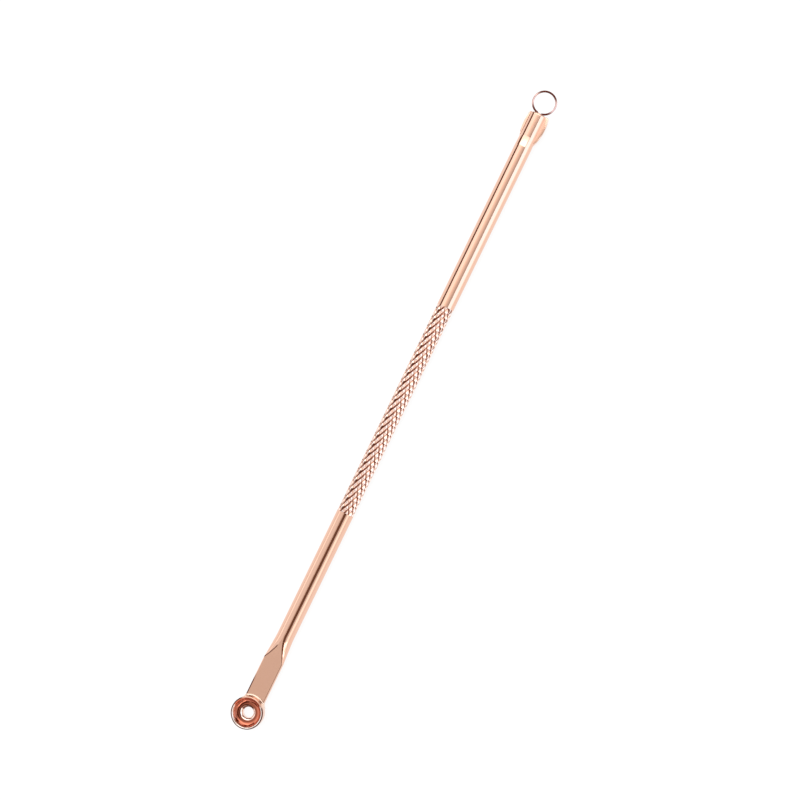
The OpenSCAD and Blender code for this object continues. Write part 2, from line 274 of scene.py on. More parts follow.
def in_frame(points):
    """From millimetres along the rod, counted from the cup's axis, to the frame in metres."""
    return points * MM + np.array([CUP_X, 0, AXIS_Z])


def smooth(u):
    """Runs from 0 to 1 with level ends: 3 u squared less 2 u cubed."""
    u = np.clip(u, 0, 1)
    return u * u * (3 - 2 * u)


def fade(x, start, stop):
    """Falls from 1 at start to 0 at stop with level ends."""
    return smooth((stop - x) / (stop - start))


def arc(centre, radius, start, stop, steps):
    """Points of a circle's arc between two angles in degrees."""
    a = np.radians(np.linspace(start, stop, steps))
    return np.array(centre) + radius * np.stack([np.cos(a), np.sin(a)], -1)


def outline(columns, flat, wide, high):
    """Outline of a flattened section, as y and height round a ring of the given columns.

    From the top the half outline runs along a flat of half width flat, then half an ellipse
    whose half axes are wide less flat and high, then the lower flat to the foot. Points are
    shared out by the run of each part. The other half is its mirror, so the ring runs top, +Y,
    foot, -Y.
    """
    q = np.arange(columns // 2 + 1)[None, :] / (columns // 2)
    bend = math.pi * np.sqrt(((wide - flat) ** 2 + high**2) / 2)
    run = q * (2 * flat + bend)
    e = math.pi / 2 - math.pi * np.clip((run - flat) / bend, 0, 1)
    over = np.clip(run, 0, flat) - np.clip(run - flat - bend, 0, flat)
    y, h = over + (wide - flat) * np.cos(e), high * np.sin(e)
    return np.concatenate([y, -y[:, -2:0:-1]], 1), np.concatenate([h, h[:, -2:0:-1]], 1)


# Rings along the blade, and how far in mm the shafts' last rings stay off the knurl, which
# starts with a step, and off the crimp, whose slope starts with a crisp line
BLADE_RINGS = 25
KNURL_STEP = 0.004
CRIMP_STEP = 0.1
# Powers that shape the rod: how the flat closes and its edges draw in along the run-out, how
# the crimp's slope bends, and how square the wings' edges are
FLAT_POWER = 1.6
DRAW_POWER = 1.2
SLOPE_POWER = 1.5
WING_POWER = 12
# Length in mm over which the wings come out of the rod, and the least that they reach
WING_LEAD = 0.2
WING_LEAST = 0.1


def rod_stations(z, k):
    """Stations along the run-out, the front shaft, the grip, the rear shaft and the crimp."""
    shaft = z.blade_l + z.runout_l
    grip = shaft + z.front_l
    rear = grip + z.grip_l
    crimp = rear + z.rear_l
    slope = crimp + z.slope_l
    end = crimp + z.crimp_l - z.end_round
    return (
        np.linspace(z.blade_l, shaft, 61)[1:],
        np.linspace(shaft, grip - KNURL_STEP, 13)[1:],
        np.linspace(grip, rear, k.rows * k.cells + 1),
        np.append(np.linspace(rear + KNURL_STEP, crimp - CRIMP_STEP, 16), crimp),
        np.append(np.linspace(crimp, slope, 17)[1:], np.linspace(slope, end, 33)[1:]),
    )


def rod_end(rod):
    """Station of the rod's end, counted from the cup's axis."""
    return rod.blade_l + rod.runout_l + rod.front_l + rod.grip_l + rod.rear_l + rod.crimp_l


def round_rings(stations, r, sine, cosine):
    """Rings square to the rod, of a radius that may differ from point to point."""
    return np.stack(np.broadcast_arrays(stations[:, None], r * sine, r * cosine), -1)


def flat_half(z, u):
    """Half width of the pressed flat, where u runs from 0 to 1 along the run-out."""
    return (z.blade_w / 2 - z.blade_edge) * (1 - u) ** FLAT_POWER


def blade_rings(z, cup, columns):
    """The blade: one flattened section, from the saddle round the cup to the shoulder."""
    share = np.linspace(0, 1, BLADE_RINGS)[:, None]
    y, h = outline(columns, flat_half(z, 0 * share), z.blade_w / 2, z.blade_t / 2)
    saddle = np.sqrt((cup.cup_r + cup.film_t) ** 2 - y**2)
    return np.stack([saddle + (z.blade_l - saddle) * share, y, h], -1)


def runout_rings(z, stations, columns):
    """The run-out: the flat closes while its edges draw in and its faces rise to the round rod.

    Half width of the flat and width over the edges go with powers of the way left. The faces
    rise as the smooth curve does.
    """
    u = (stations - z.blade_l)[:, None] / z.runout_l
    wide = z.rod_r + (z.blade_w / 2 - z.rod_r) * (1 - u) ** DRAW_POWER
    high = z.blade_t / 2 + (z.rod_r - z.blade_t / 2) * smooth(u)
    y, h = outline(columns, flat_half(z, u), wide, high)
    return np.stack([stations[:, None] + 0 * y, y, h], -1)


def knurl_grooves(along, turn, k):
    """How far each family of the knurl's grooves lies below the crests.

    The families follow whole values of along less turn and of along plus turn, both counted in
    diamonds. Across each groove the depth is (0.5 + 0.5 cos(2 pi phase)) to a power that
    narrows it.
    """
    families = (
        (along - turn, k.deep, k.deep_power),
        (along + turn, k.shallow, k.shallow_power),
    )
    return [
        depth * (0.5 + 0.5 * np.cos(2 * math.pi * phase)) ** power
        for phase, depth, power in families
    ]


# Painted shade in the knurl: darkness of the deep and the shallow grooves on the +Y side, what
# the -Y side adds to each, how much of a shallow groove's line is lost there between the deep
# ones, and where and how fast the +Y side gives way to the -Y side, by the sine of the turn
DEEP_DARK, DEEP_DARK_MORE = 1, -0.4
SHALLOW_DARK, SHALLOW_DARK_MORE = 0.75, 1.1
LINE_LOSS = 0.35
SIDE_START = 0.05
SIDE_GAIN = 2.2
# Shade of plain metal, and how fast the painted shade in the grooves and the painted highlight
# on the crests grow on either side of it
PLAIN_SHADE = 0.5
GROOVE_GAIN = 2.2
CREST_GAIN = 1.6


def knurl_shade(deep, shallow, sine, k):
    """Painted shade in the knurl's grooves: the darker of the two families at each point.

    It changes with the side that the light falls from, so the deep grooves are painted darker
    on +Y, and the shallow ones on -Y.
    """
    side = smooth(-SIDE_START - SIDE_GAIN * sine)
    unbroken = 1 - LINE_LOSS * side * (1 - np.sqrt(deep / k.deep))
    deep_lines = deep * (DEEP_DARK + DEEP_DARK_MORE * side)
    shallow_lines = shallow * (SHALLOW_DARK + SHALLOW_DARK_MORE * side) * unbroken
    return np.maximum(deep_lines, shallow_lines) / k.deep


# Painted dark reflection lines on the pressed flat, in mm: how far they reach in from the edge,
# the half width of the lines, and the stations between which they fade out on the blade and on
# the run-out. On the -Y edge their share is less, and they fade out over the given length past
# the shoulder.
PAINTED_LINE_REACH = 0.09
LINE_HALF = 0.08
BLADE_FADE = (5, 7)
RUNOUT_FADE = (12.3, 12.8)
NEAR_SHARE = 0.7
NEAR_FADE = 1


def painted_edge_lines(points, z):
    """Share of painted dark reflection along the upper edges of the pressed flat.

    On +Y it covers the rounded edge near the cup, and a line follows the run-out's boundary. On
    -Y a fainter line follows the blade's edge.
    """
    x, y, h = np.moveaxis(points, -1, 0)
    over = np.abs(y) - flat_half(z, np.clip((x - z.blade_l) / z.runout_l, 0, 1))
    on_blade = x < z.blade_l
    far_line = np.where(on_blade, over > -PAINTED_LINE_REACH, np.abs(over - LINE_HALF / 2) < LINE_HALF)
    far_share = np.where(on_blade, fade(x, *BLADE_FADE), fade(x, *RUNOUT_FADE))
    near_line = np.clip(1 - np.abs(over - LINE_HALF / 4) / LINE_HALF, 0, 1)
    near_share = NEAR_SHARE * fade(x, z.blade_l, z.blade_l + NEAR_FADE)
    return (h > 0) * np.where(y > 0, far_line * far_share, near_line * near_share)


def crimp_rings(z, stations, start, sine, cosine):
    """Sections of the crimp: at each direction the further of a round core and a flat slab.

    The core is an ellipse that draws in and drops along the slope, by 1 less a power of the
    way left. The slab is as thick as the wings and reaches their curved outline, and a high
    power rounds its edges.
    """
    x = stations[:, None]
    left = 1 - np.clip((x - start) / z.slope_l, 0, 1)
    share = 1 - left**SLOPE_POWER
    high = z.rod_r - z.crimp_drop * share
    wide = z.rod_r + (z.crimp_r - z.rod_r) * share
    core = 1 / np.sqrt((sine / wide) ** 2 + (cosine / high) ** 2)
    from_middle = x - (start + z.crimp_l) + z.wing_mid
    reach = z.wing_w / 2 - z.wing_r + np.sqrt(z.wing_r**2 - from_middle**2)
    reach = np.maximum(reach - z.crimp_shift * np.sign(sine), WING_LEAST)
    across = (np.abs(sine) / reach) ** WING_POWER
    through = (np.abs(cosine) / (z.wing_t / 2)) ** WING_POWER
    slab = (across + through) ** (-1 / WING_POWER) * smooth((x - start) / WING_LEAD)
    return round_rings(stations, np.maximum(core, slab), sine, cosine)


def end_rings(z, last):
    """Rounds the rod's end: the last section drawn in along a quarter circle of end_round."""
    e = np.linspace(0, math.pi / 2, 7)[1:, None, None]
    middle = last.mean(0)
    arm = last - middle
    arm[:, 0] = 0
    size = np.linalg.norm(arm, axis=1)[None, :, None]
    rings = middle + arm[None] * (1 - z.end_round * (1 - np.cos(e)) / size)
    rings[..., 0] = last[0, 0] + z.end_round * np.sin(e[..., 0])
    return rings


def saddle_faces(columns):
    """The saddle's face: strips from the top edge straight down to the foot.

    The strips shrink to a triangle at each edge of the blade.
    """
    half, side = columns // 2, columns // 4
    up = np.arange(side - 1)
    left = (columns - up) % columns
    return [
        np.stack([up, up + 1, half - up - 1, half - up], -1),
        np.array([[side - 1, side, side + 1]]),
        np.stack([half + up, half + up + 1, columns - up - 1, left], -1),
        np.array([[half + side - 1, half + side, half + side + 1]]),
    ]


class EXTRACTOR_OT_handle(bpy.types.Operator):
    """Make the rod with its blade, run-out, knurled grip and crimped end"""

    bl_idname = "extractor.handle"
    bl_label = "Handle"

    def execute(self, context):
        z, k = Values(context.scene.rod_sizes), Values(context.scene.knurl_sizes)
        cup = Values(context.scene.cup_sizes)
        columns = k.diamonds * k.cells
        turn = np.arange(columns) / columns
        cosine, sine = np.cos(2 * math.pi * turn), np.sin(2 * math.pi * turn)
        runout, front, grip, rear, crimp = rod_stations(z, k)
        along = (grip[:, None] - grip[0]) / (grip[-1] - grip[0]) * k.rows
        # turn runs towards +Y, and the deeper grooves climb towards -Y
        deep, shallow = knurl_grooves(along, -turn[None, :] * k.diamonds, k)
        pressed = np.concatenate([blade_rings(z, cup, columns), runout_rings(z, runout, columns)])
        parts = [
            pressed,
            round_rings(front, z.rod_r, sine, cosine),
            round_rings(grip, z.rod_r - np.maximum(deep, shallow) - k.inset, sine, cosine),
            round_rings(rear, z.rod_r, sine, cosine),
            crimp_rings(z, crimp, rear[-1], sine, cosine),
        ]
        parts.append(end_rings(z, parts[-1][-1]))
        points = np.concatenate(parts)
        rows = len(points)
        # painted shade of the knurl; the plain shade off the knurl paints nothing
        shade = np.full((rows, columns), PLAIN_SHADE)
        first = len(pressed) + len(front)
        shade[first : first + len(grip)] = knurl_shade(deep, shallow, sine, k)
        # painted dark reflection lines along the blade's pressed flat
        edge = np.zeros((rows, columns))
        edge[: len(pressed)] = painted_edge_lines(pressed, z)
        # the end's centre is one more point, without tone
        centre = points[-1].mean(0)[None, :]
        last = (rows - 1) * columns + np.arange(columns)
        piece = mesh_piece(
            "plated_handle",
            in_frame(np.concatenate([points.reshape(-1, 3), centre])),
            [
                grid_faces(rows, columns),
                *saddle_faces(columns),
                fan_faces(rows * columns, last, flip=True),
            ],
            plated_steel(context),
            # groove paints shade into the knurl, the pale share paints highlights on its crests,
            # and edge paints dark reflection lines on the blade
            groove=np.append(np.clip(GROOVE_GAIN * (shade - PLAIN_SHADE), 0, 1), 0),
            crest=np.append(np.clip(CREST_GAIN * (PLAIN_SHADE - shade), 0, 1), 0),
            edge=np.append(edge, 0),
        )
        stands_for(piece, "handle_rod")
        return {"FINISHED"}


# Points round the cup
CUP_SIDES = 192
# Angles at which the cup's painted light and shade change, in degrees: where the painted
# highlight starts on the lip's arc, how far below the lip it ends and the brow's painted shade
# starts and ends on the bowl's arc, where the painted dark ring starts at the bowl's foot, and
# where it ends in the hole's edge
LIP_FROM = 86
LIP_BELOW = 11
BROW_BELOW = (24, 44)
RING_FROM = -76
RING_TO = 106


def cup_profile(z):
    """Closed half outline of the cup, and the zone of each point for its painted light and shade.

    From the foot up the wall, over the round lip, down the bowl's arc, along its floor, round
    into the hole and out at its lower edge. The bowl's arc touches the lip and the floor.
    """
    lip_r = z.lip_t / 2
    floor = z.cup_h - z.bowl_depth
    run = z.cup_r - lip_r - z.hole_r - z.hole_round
    bowl_r = (z.bowl_depth**2 + run**2) / (2 * z.bowl_depth) - lip_r
    bowl = np.array([z.hole_r + z.hole_round, floor + bowl_r])
    lip = np.array([z.cup_r - lip_r, z.cup_h - lip_r])
    top = math.degrees(math.atan2(*(lip - bowl)[::-1]))
    brow, under_brow = (top - below for below in BROW_BELOW)
    hole = (bowl[0], floor - z.hole_round)
    parts = (
        ("wall", arc((z.cup_r - z.foot_r, z.foot_r), z.foot_r, -90, 0, 17)),
        ("wall", np.linspace((z.cup_r, z.foot_r), (z.cup_r, lip[1]), 15)[1:-1]),
        ("edge", arc(lip, lip_r, 0, LIP_FROM, 15)),
        ("lip", arc(lip, lip_r, LIP_FROM, 180 + top, 23)[1:]),
        ("lip", arc(bowl, bowl_r, top, top - LIP_BELOW, 7)[1:]),
        ("bowl", arc(bowl, bowl_r, top - LIP_BELOW, brow, 7)[1:]),
        ("brow", arc(bowl, bowl_r, brow, under_brow, 9)[1:]),
        ("bowl", arc(bowl, bowl_r, under_brow, RING_FROM, 9)[1:]),
        ("ring", arc(bowl, bowl_r, RING_FROM, -90, 7)[1:]),
        ("ring", arc(hole, z.hole_round, 90, RING_TO, 7)[1:]),
        ("round", arc(hole, z.hole_round, RING_TO, 180, 21)[1:]),
        ("wall", arc((z.hole_r + z.hole_exit, z.hole_exit), z.hole_exit, 180, 270, 13)),
    )
    profile = np.concatenate([points for _, points in parts])
    zone = np.concatenate([np.full(len(points), name) for name, points in parts])
    return profile, zone


def revolve(profile, count):
    """Turns a closed profile of (radius, height) about the cup's axis."""
    a = 2 * math.pi * np.arange(count) / count
    r, h = profile[:, :1], profile[:, 1:]
    return np.stack([r * np.cos(a), r * np.sin(a), h + 0 * a], -1)


def sector(turn, middle, half, soft=12):
    """Runs from 1 inside a sector of the turn, in degrees, to 0 outside it."""
    away = np.abs((turn - middle + 180) % 360 - 180)
    return smooth((half - away) / soft + 0.5)[None, :]


# Sectors of the cup's painted light and shade, as middle and half width in degrees from the
# blade towards +Y
AT_BLADE = (0, 45)
SHADED_LIP_SIDE = (23, 61)
BROW_SIDE = (105, 60)
BOWL_SIDE = (20, 55)
HOLE_SIDE = (25, 55)
# Shares of painted shade on the brow, the bowl, the dark ring and the hole's edge, and of the
# painted highlight on the rest of the hole's edge
BROW_DARK = 0.65
BOWL_DARK = 0.25
RING_DARK = 0.5
HOLE_DARK = 0.85
HOLE_HIGHLIGHT = 0.6


def cup_tones(zone, turn):
    """Shares of the painted light and shade on the cup: the deep bowl colour, the pale one and
    the dark one.

    The lip has a painted highlight but for the side between the blade and +Y, where it takes
    the bowl colour, and so has the edge into the hole. Dark painted shade lies below the lip
    outside, in the bowl's foot, under the lip towards -X and +Y, and in the hole's edge on the
    blade's side.
    """
    here = {name: (zone == name)[:, None] for name in set(zone)}
    shaded_lip, hole_side = sector(turn, *SHADED_LIP_SIDE), sector(turn, *HOLE_SIDE)
    return {
        "bowl": here["brow"] + here["bowl"] + here["ring"] + here["lip"] * shaded_lip,
        "lip": here["lip"] * (1 - shaded_lip) + here["round"] * (1 - hole_side) * HOLE_HIGHLIGHT,
        "edge": (
            here["edge"] * (1 - sector(turn, *AT_BLADE))
            + here["brow"] * sector(turn, *BROW_SIDE) * BROW_DARK
            + here["bowl"] * sector(turn, *BOWL_SIDE) * BOWL_DARK
            + here["ring"] * RING_DARK
            + here["round"] * hole_side * HOLE_DARK
        ),
    }


class EXTRACTOR_OT_cup(bpy.types.Operator):
    """Make the cup with its rounded lip, bowl and hole"""

    bl_idname = "extractor.cup"
    bl_label = "Cup"

    def execute(self, context):
        z, rod = Values(context.scene.cup_sizes), Values(context.scene.rod_sizes)
        profile, zone = cup_profile(z)
        profile[:, 1] += rod.blade_t / 2 + z.proud - z.cup_h
        piece = mesh_piece(
            "extractor_bowl",
            in_frame(revolve(profile, CUP_SIDES)),
            [grid_faces(len(profile), CUP_SIDES, loop=True)[:, ::-1]],
            cup_steel(context),
            **cup_tones(zone, np.arange(CUP_SIDES) / CUP_SIDES * 360),
        )
        stands_for(piece, "extractor_cup")
        return {"FINISHED"}


# Points round the blade in the braze, the fillet's least size, how far the braze goes in
# behind the cup's wall in mm, and the share of the blade's outline that its inner rings follow
BRAZE_COLUMNS = 160
FILLET_LEAST = 0.02
BRAZE_DEPTH = 0.12
BRAZE_INSIDE = 0.9


def braze_rings(y, h, cup, face_z):
    """The braze as rings that follow the blade's outline, from its toe to the cup's wall.

    The arm at each point is the outline's outward normal, drawn in to a hair over the lowest
    quarter of the blade, where the cup has no wall to climb. The fillet is a hollow quarter
    circle between the blade and the wall, and the rings behind it close the piece inside both.
    """
    normal = np.stack([np.roll(h, 1) - np.roll(h, -1), np.roll(y, -1) - np.roll(y, 1)], -1)
    normal /= np.linalg.norm(normal, axis=1)[:, None]
    normal *= np.sign((normal * np.stack([y, h], -1)).sum(1))[:, None]
    size = np.maximum(cup.fillet_r * smooth((h / face_z + 1) / 0.5), FILLET_LEAST)
    e = np.linspace(0, math.pi / 2, 11)[:, None]
    away = size - size * np.sin(e)
    rise = size - size * np.cos(e)
    yy = y + normal[:, 0] * rise
    zz = h + normal[:, 1] * rise
    wall = np.sqrt(np.maximum(cup.cup_r**2 - yy**2, 0))
    surface = np.stack([wall + away, yy, zz], -1)
    inner_y, inner_z = y * BRAZE_INSIDE, h * BRAZE_INSIDE
    inner = np.sqrt(cup.cup_r**2 - inner_y**2)
    top = surface[-1] - np.array([BRAZE_DEPTH, 0, 0])
    deep = np.stack([inner - BRAZE_DEPTH, inner_y, inner_z], -1)
    toe = np.stack([surface[0, :, 0], inner_y, inner_z], -1)
    return np.concatenate([surface, top[None], deep[None], toe[None]])


class EXTRACTOR_OT_cup_braze(bpy.types.Operator):
    """Make the braze fillet between the cup and the blade"""

    bl_idname = "extractor.cup_braze"
    bl_label = "Cup braze"

    def execute(self, context):
        cup, rod = Values(context.scene.cup_sizes), Values(context.scene.rod_sizes)
        face_z = rod.blade_t / 2
        flat = rod.blade_w / 2 - rod.blade_edge
        y, h = outline(BRAZE_COLUMNS, flat, rod.blade_w / 2, face_z)
        points = braze_rings(y[0], h[0], cup, face_z)
        faces = [grid_faces(len(points), BRAZE_COLUMNS, loop=True)[:, ::-1]]
        piece = mesh_piece(
            "braze_fillet", in_frame(points), faces, silver_braze(context), sharp=60
        )
        stands_for(piece, "cup_braze")
        return {"FINISHED"}


# Points round the wire, and the sideways parts of its direction at which its painted shade
# starts and is full
WIRE_SIDES = 24
WIRE_SHADE_FROM = 0.35
WIRE_SHADE_FULL = 0.8


def loop_path(z, end_x):
    """Centre line of the wire: a leg, a bend, the ring, the other bend and the other leg."""
    ring_r = z.loop_r - z.wire_r
    leg_y = z.wire_r + z.leg_gap / 2
    bend_x, bend_y = end_x - z.wire_r, leg_y + z.bend_r
    ring_x = bend_x + math.sqrt((ring_r + z.bend_r) ** 2 - bend_y**2)
    neck = math.degrees(math.atan2(bend_y, ring_x - bend_x))
    upper = arc((bend_x, bend_y), z.bend_r, -90, -neck, 13)
    ring = arc((ring_x, 0), ring_r, 180 - neck, neck - 180, 145)[1:]
    lower = arc((bend_x, -bend_y), z.bend_r, neck, 90, 13)[1:]
    start, end = [[end_x - z.leg_l, leg_y]], [[end_x - z.leg_l, -leg_y]]
    return np.concatenate([start, upper, ring, lower, end])


def directions(path):
    """Direction of the path at each of its points, one long."""
    along = np.gradient(path, axis=0)
    return along / np.linalg.norm(along, axis=1)[:, None]


def wire_shade_share(path):
    """Share of painted shade along the wire: full where it runs across the tool, none beside that.
    """
    return 1 - fade(np.abs(directions(path)[:, 1]), WIRE_SHADE_FROM, WIRE_SHADE_FULL)


def wire_rings(path, wire_r, tilt):
    """Circles square to the path, which lies flat and is then turned about the rod's axis."""
    along = directions(path)
    across = np.stack([-along[:, 1], along[:, 0]], -1)
    a = 2 * math.pi * np.arange(WIRE_SIDES) / WIRE_SIDES
    flat = path[:, None, :] + wire_r * np.cos(a)[None, :, None] * across[:, None, :]
    lift = wire_r * np.sin(a)
    y = flat[..., 1] * math.cos(tilt) - lift * math.sin(tilt)
    h = flat[..., 1] * math.sin(tilt) + lift * math.cos(tilt)
    return np.stack([flat[..., 0], y, h], -1)


class EXTRACTOR_OT_loop(bpy.types.Operator):
    """Make the wire loop"""

    bl_idname = "extractor.loop"
    bl_label = "Wire loop"

    def execute(self, context):
        z, rod = Values(context.scene.loop_sizes), Values(context.scene.rod_sizes)
        path = loop_path(z, rod_end(rod))
        points = wire_rings(path, z.wire_r, z.turn)
        rows = len(path)
        first = np.arange(WIRE_SIDES)
        last = (rows - 1) * WIRE_SIDES + first
        ends = points[[0, -1]].mean(1)
        # painted shade where the wire runs across the tool
        tarnish = np.append(np.repeat(wire_shade_share(path), WIRE_SIDES), [0, 0])
        piece = mesh_piece(
            "loop_of_wire",
            in_frame(np.concatenate([points.reshape(-1, 3), ends])),
            [
                grid_faces(rows, WIRE_SIDES)[:, ::-1],
                fan_faces(rows * WIRE_SIDES, first, flip=True),
                fan_faces(rows * WIRE_SIDES + 1, last),
            ],
            plated_wire(context),
            tarnish=tarnish,
        )
        stands_for(piece, "wire_loop")
        return {"FINISHED"}


# Points round the bead, its sag as a share of its radius and the angle it sags at, the share
# of its three small waves, and how far its last ring is drawn in, as a share, and back, in mm
BEAD_SIDES = 48
BEAD_SAG, BEAD_SAG_AT = 0.06, 2.2
BEAD_WAVE = 0.03
BEAD_IN, BEAD_BACK = 0.6, 0.3


def bead_rings(z, tip):
    """The bead: a dome of a sphere that sags a little to one side, as braze that ran.

    Its radius is multiplied by 1 and two cosines of the angle round it, for the sag and the
    waves. The last ring lies inside the rod.
    """
    dome_r = (z.bead_r**2 + z.bead_h**2) / (2 * z.bead_h)
    e = np.linspace(0, math.asin(z.bead_r / dome_r), 17)[1:, None]
    a = 2 * math.pi * np.arange(BEAD_SIDES)[None, :] / BEAD_SIDES
    lean = 1 + BEAD_SAG * np.cos(a - BEAD_SAG_AT) + BEAD_WAVE * np.cos(3 * a)
    r = dome_r * np.sin(e) * lean
    x = tip - dome_r * (1 - np.cos(e)) + 0 * a
    dome = np.stack([x, r * np.cos(a), r * np.sin(a)], -1)
    foot = dome[-1] * np.array([1, BEAD_IN, BEAD_IN]) - np.array([BEAD_BACK, 0, 0])
    return np.concatenate([dome, foot[None]])


class EXTRACTOR_OT_loop_braze(bpy.types.Operator):
    """Make the bead of braze at the loop's foot"""

    bl_idname = "extractor.loop_braze"
    bl_label = "Loop braze"

    def execute(self, context):
        z, rod = Values(context.scene.loop_sizes), Values(context.scene.rod_sizes)
        tip = rod_end(rod) + z.bead_h
        points = bead_rings(z, tip)
        rows = len(points)
        first = np.arange(BEAD_SIDES)
        last = (rows - 1) * BEAD_SIDES + first
        poles = [[tip, 0, 0], [points[-1, 0, 0], 0, 0]]
        piece = mesh_piece(
            "braze_bead",
            in_frame(np.concatenate([points.reshape(-1, 3), poles])),
            [
                grid_faces(rows, BEAD_SIDES),
                fan_faces(rows * BEAD_SIDES, first),
                fan_faces(rows * BEAD_SIDES + 1, last, flip=True),
            ],
            silver_braze(context),
            sharp=60,
        )
        stands_for(piece, "loop_braze")
        return {"FINISHED"}


# Scales of the plating's patterns, in cells a metre: patches of thinner plating about 7 mm
# wide, wear 0.4 mm wide, and polishing grain. The real grain is finer, and is drawn 0.15 mm
# wide so that it shows.
DRIFT_SCALE = 140.0
WEAR_SCALE = 2500.0
GRAIN_SCALE = 6500.0
GRAIN_DEPTH = 0.01 * MM


def polished_metal(name, base, varied, roughness, grain, **tones):
    """A polished metal: colour that drifts with the plating, fine wear in its gloss, and grain.

    tones are further colours, each mixed in by the point attribute of its name.
    """
    material, tree = new_material(name)
    place = add_node(tree, "TexCoord").outputs["Object"]
    drift = add_node(tree, "TexNoise", {"Vector": place, "Scale": DRIFT_SCALE, "Detail": 3.0})
    wear = add_node(tree, "TexNoise", {"Vector": place, "Scale": WEAR_SCALE, "Detail": 4.0})
    marks = add_node(tree, "TexNoise", {"Vector": place, "Scale": GRAIN_SCALE, "Detail": 2.0})
    mix = {0: drift.outputs["Fac"], 6: rgba(base), 7: rgba(varied)}
    tone = add_node(tree, "Mix", mix, data_type="RGBA").outputs[2]
    for layer, shade in tones.items():
        share = add_node(tree, "Attribute", attribute_name=layer).outputs["Fac"]
        mix = {0: share, 6: tone, 7: rgba(shade)}
        tone = add_node(tree, "Mix", mix, data_type="RGBA").outputs[2]
    gloss = add_node(
        tree,
        "MapRange",
        {
            "Value": wear.outputs["Fac"],
            "From Min": 0.3,
            "From Max": 0.7,
            "To Min": roughness * 0.75,
            "To Max": roughness * 1.35,
        },
    )
    bump = add_node(
        tree,
        "Bump",
        {"Height": marks.outputs["Fac"], "Strength": grain, "Distance": GRAIN_DEPTH},
    )
    shader = add_node(
        tree,
        "BsdfPrincipled",
        {
            "Base Color": tone,
            "Metallic": 1.0,
            "Roughness": gloss.outputs["Result"],
            "Normal": bump.outputs["Normal"],
        },
    )
    add_node(tree, "OutputMaterial", {"Surface": shader.outputs["BSDF"]})
    return material


def plated_steel(context):
    """Polished stainless steel under rose-gold plating: clear, narrow reflections, warm pink."""
    c = context.scene.finish
    # groove paints shade into the knurl, edge paints dark reflection lines on the blade, and the
    # pale tone paints highlights on the knurl's crests
    tones = {"groove": c.groove, "crest": c.crest, "edge": c.edge}
    name = "polished_rose_gold_plating"
    return polished_metal(name, c.plating, c.plating_deep, roughness=0.08, grain=0.25, **tones)


def cup_steel(context):
    """The same plating, with light and shade painted on: deeper in colour in the bowl, dark below
    the lip and round the hole, and pale on the lip.
    """
    c = context.scene.finish
    # bowl and edge paint shade on the cup, and lip paints a highlight
    tones = {"bowl": c.bowl, "lip": c.lip, "edge": c.edge}
    name = "polished_cup_plating"
    return polished_metal(name, c.plating, c.plating_deep, roughness=0.09, grain=0.25, **tones)


def silver_braze(context):
    """Silver braze under the same plating: paler and softer than the rod."""
    name = "plated_silver_braze"
    found = bpy.data.materials.get(name)
    c = context.scene.finish
    return found or polished_metal(name, c.braze, c.plating, roughness=0.16, grain=0.4)


def plated_wire(context):
    """Drawn spring wire, plated: a cooler pink, with painted shade where the wire runs across the
    tool.
    """
    c = context.scene.finish
    name, tones = "drawn_wire_plating", {"tarnish": c.wire_dark}
    return polished_metal(name, c.wire, c.plating_deep, roughness=0.1, grain=0.3, **tones)


# Studio cards seen only in the metal, bent round the rod's axis at a radius of 0.3 m: first
# and last angle, first and last x, brightness at the first and the last angle, and colour.
# Angles run from straight up towards -Y, and x is in metres along the tool.
CARD_R = 0.3
CARD_RINGS = 13
WHITE, WARM, COOL, BROWN = "#FFFFFF", "#FFF8F2", "#DDEEFF", "#735545"
CARDS = (
    (-2, 29, -0.60, 0.03, 1.0, 1.0, BROWN),
    (-17, -2, -0.42, 0.03, 0.80, 0.73, WARM),
    (29, 46, -0.152, 0.0, 0.72, 0.88, WHITE),
    (48, 72, -0.108, 0.0, 1.6, 1.4, WHITE),
    (29, 46, -0.60, -0.152, 2.6, 2.6, WHITE),
    (46, 52, -0.168, -0.118, 2.6, 2.6, WHITE),
    (52, 64, -0.146, -0.108, 2.6, 2.6, WHITE),
    (-72, -60, -0.16, 0.0, 1.5, 1.5, WHITE),
    (-90, -4, -0.90, -0.42, 0.8, 0.8, BROWN),
    (-79, -57, 0.0, 0.123, 0.8, 0.8, BROWN),
    (-56, -17, 0.0, 0.123, 1.4, 1.45, WHITE),
    (-17, 38, 0.03, 0.123, 1.3, 0.42, WARM),
    (-60, 30, 0.123, 0.155, 1.7, 1.7, WHITE),
    (-60, 30, 0.155, 0.24, 2.6, 2.6, WHITE),
    (39, 80, 0.0, 0.24, 2.05, 2.05, COOL),
    (80, 90, 0.0, 0.24, 1.6, 1.2, WHITE),
    (-90, -60, 0.123, 0.24, 0.9, 0.9, BROWN),
    (-45, 25, 0.24, 0.90, 1.3, 1.3, WHITE),
    (-90, -45, 0.24, 0.90, 0.9, 0.9, BROWN),
    (25, 90, 0.24, 0.90, 0.9, 0.9, BROWN),
)


def card_material(code):
    """A studio card that gives off an even colour; its brightness is kept on its points."""
    material, tree = new_material("studio_card")
    glow = add_node(tree, "Attribute", attribute_name="glow").outputs["Fac"]
    light = add_node(tree, "Emission", {"Color": rgba(linear(code)), "Strength": glow})
    add_node(tree, "OutputMaterial", {"Surface": light.outputs[0]})
    return material


